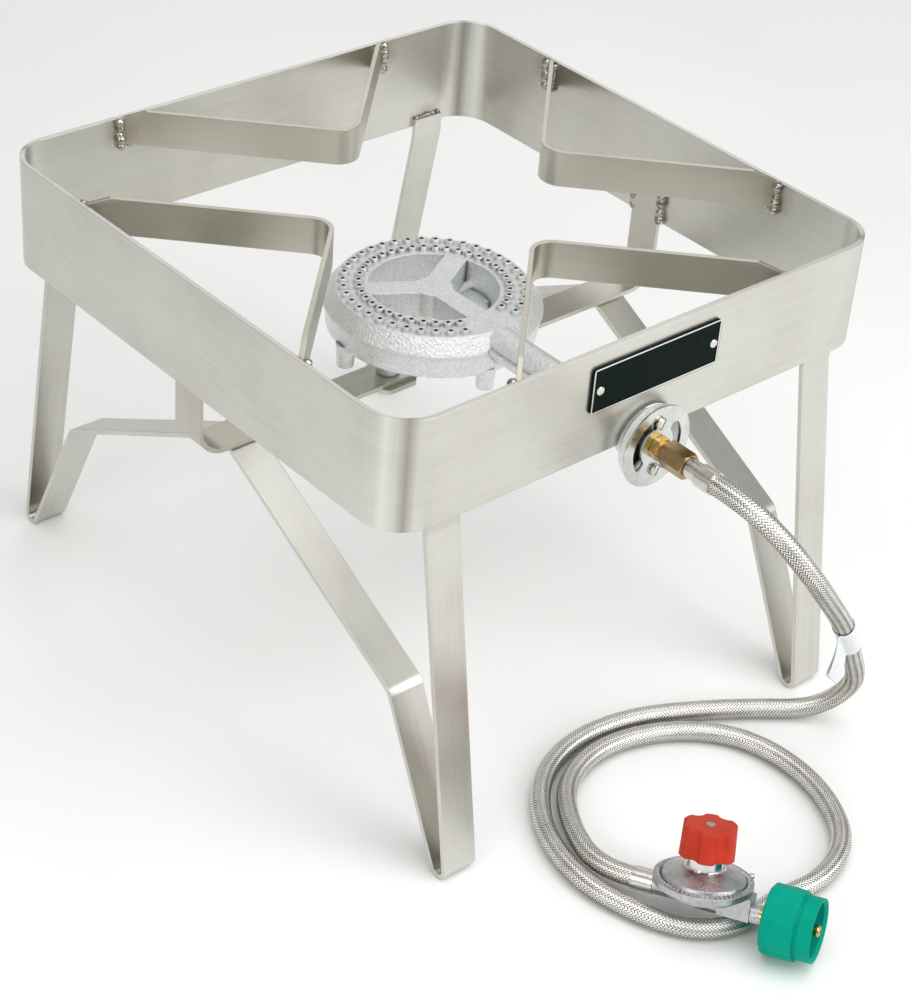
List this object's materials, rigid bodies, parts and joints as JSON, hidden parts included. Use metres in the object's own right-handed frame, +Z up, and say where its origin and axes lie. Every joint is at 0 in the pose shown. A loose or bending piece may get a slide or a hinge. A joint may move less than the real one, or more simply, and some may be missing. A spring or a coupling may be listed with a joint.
{
  "type": "outdoor propane stove",
  "caption": "Low square steel stove on bent bar legs with a cast ring burner, V shaped pot supports, air shutter, braided gas hose and dial regulator.",
  "frame": {"origin": "On the floor, under the middle of the square frame.", "axes": "+Z up. -Y to the front, where the gas inlet and the name plate are. +X to the right as seen from the front."},
  "size_m": [0.4064, 0.6767, 0.3353],
  "materials": {
    "stainless_bar": "satin brushed stainless steel",
    "cast_aluminium": "rough as cast",
    "zinc_plate": "bright zinc plate",
    "brass": "turned brass",
    "nickel": "nickel plate",
    "steel_braid": "woven stainless wire",
    "tag_white": "matt film",
    "zinc_casting": "die cast, satin",
    "diaphragm_rubber": "matt",
    "inner_steel": "plain steel",
    "knob_red": "satin moulded",
    "nut_green": "satin moulded",
    "plate_black": "black enamel with a bare metal border"
  },
  "bodies": {
    "stove": {"frame_band": "stainless_bar", "pot_support_front": "stainless_bar", "pot_support_right": "stainless_bar", "pot_support_back": "stainless_bar", "pot_support_left": "stainless_bar", "leg_bar_left": "stainless_bar", "leg_bar_right": "stainless_bar", "burner_bracket": "stainless_bar", "burner_clamp_plates": "stainless_bar", "burner": "cast_aluminium", "shutter_screws": "zinc_plate", "burner_bolts": "zinc_plate", "name_plate_rivets": "zinc_plate", "orifice_fitting": "brass", "hose_swivel_nut": "brass", "inlet_nipple": "brass", "burner_hose_ferrule": "nickel", "regulator_hose_ferrule": "nickel", "braided_hose": "steel_braid", "hose_tag": "tag_white", "regulator_body": "zinc_casting", "regulator_bonnet": "zinc_casting", "diaphragm": "diaphragm_rubber", "adjusting_spring": "inner_steel", "name_plate": "plate_black"},
    "shutter": {"air_shutter": "zinc_plate"},
    "button": {"spring_button": "inner_steel"},
    "knob": {"control_knob": "knob_red", "adjusting_screw": "inner_steel"},
    "valve": {"valve_stem": "inner_steel"},
    "coupling": {"coupling_nut": "nut_green"}
  },
  "joints": [
    {"name": "shutter_turn", "type": "hinge", "parent": "stove", "child": "shutter", "pos_m": [0, -0.21305, 0.2485], "axis": [0, 1, 0], "range_deg": [0, 115]},
    {"name": "screw_feed", "type": "slide", "parent": "stove", "child": "button", "axis": [-0.2277, -0.2241, -0.9476], "range_m": [0, 0.0042], "deforming": ["adjusting_spring"]},
    {"name": "knob_turn", "type": "hinge", "parent": "button", "child": "knob", "pos_m": [-0.05779, -0.35013, 0.0552], "axis": [-0.2277, -0.2241, -0.9476], "range_deg": [0, 990]},
    {"name": "valve_lift", "type": "slide", "parent": "stove", "child": "valve", "axis": [-0.2277, -0.2241, -0.9476], "range_m": [0, 0.001], "deforming": ["diaphragm"]},
    {"name": "coupling_turn", "type": "hinge", "parent": "stove", "child": "coupling", "pos_m": [-0.04273, -0.41141, 0.02387], "axis": [0.4168, -0.9019, 0.1132], "continuous": true}
  ],
  "couplings": [
    {"joint": "screw_feed", "follows": "knob_turn", "m_per_rad": 0.00023873},
    {"joint": "valve_lift", "follows": "knob_turn", "m_per_rad": 0.0000577}
  ]
}
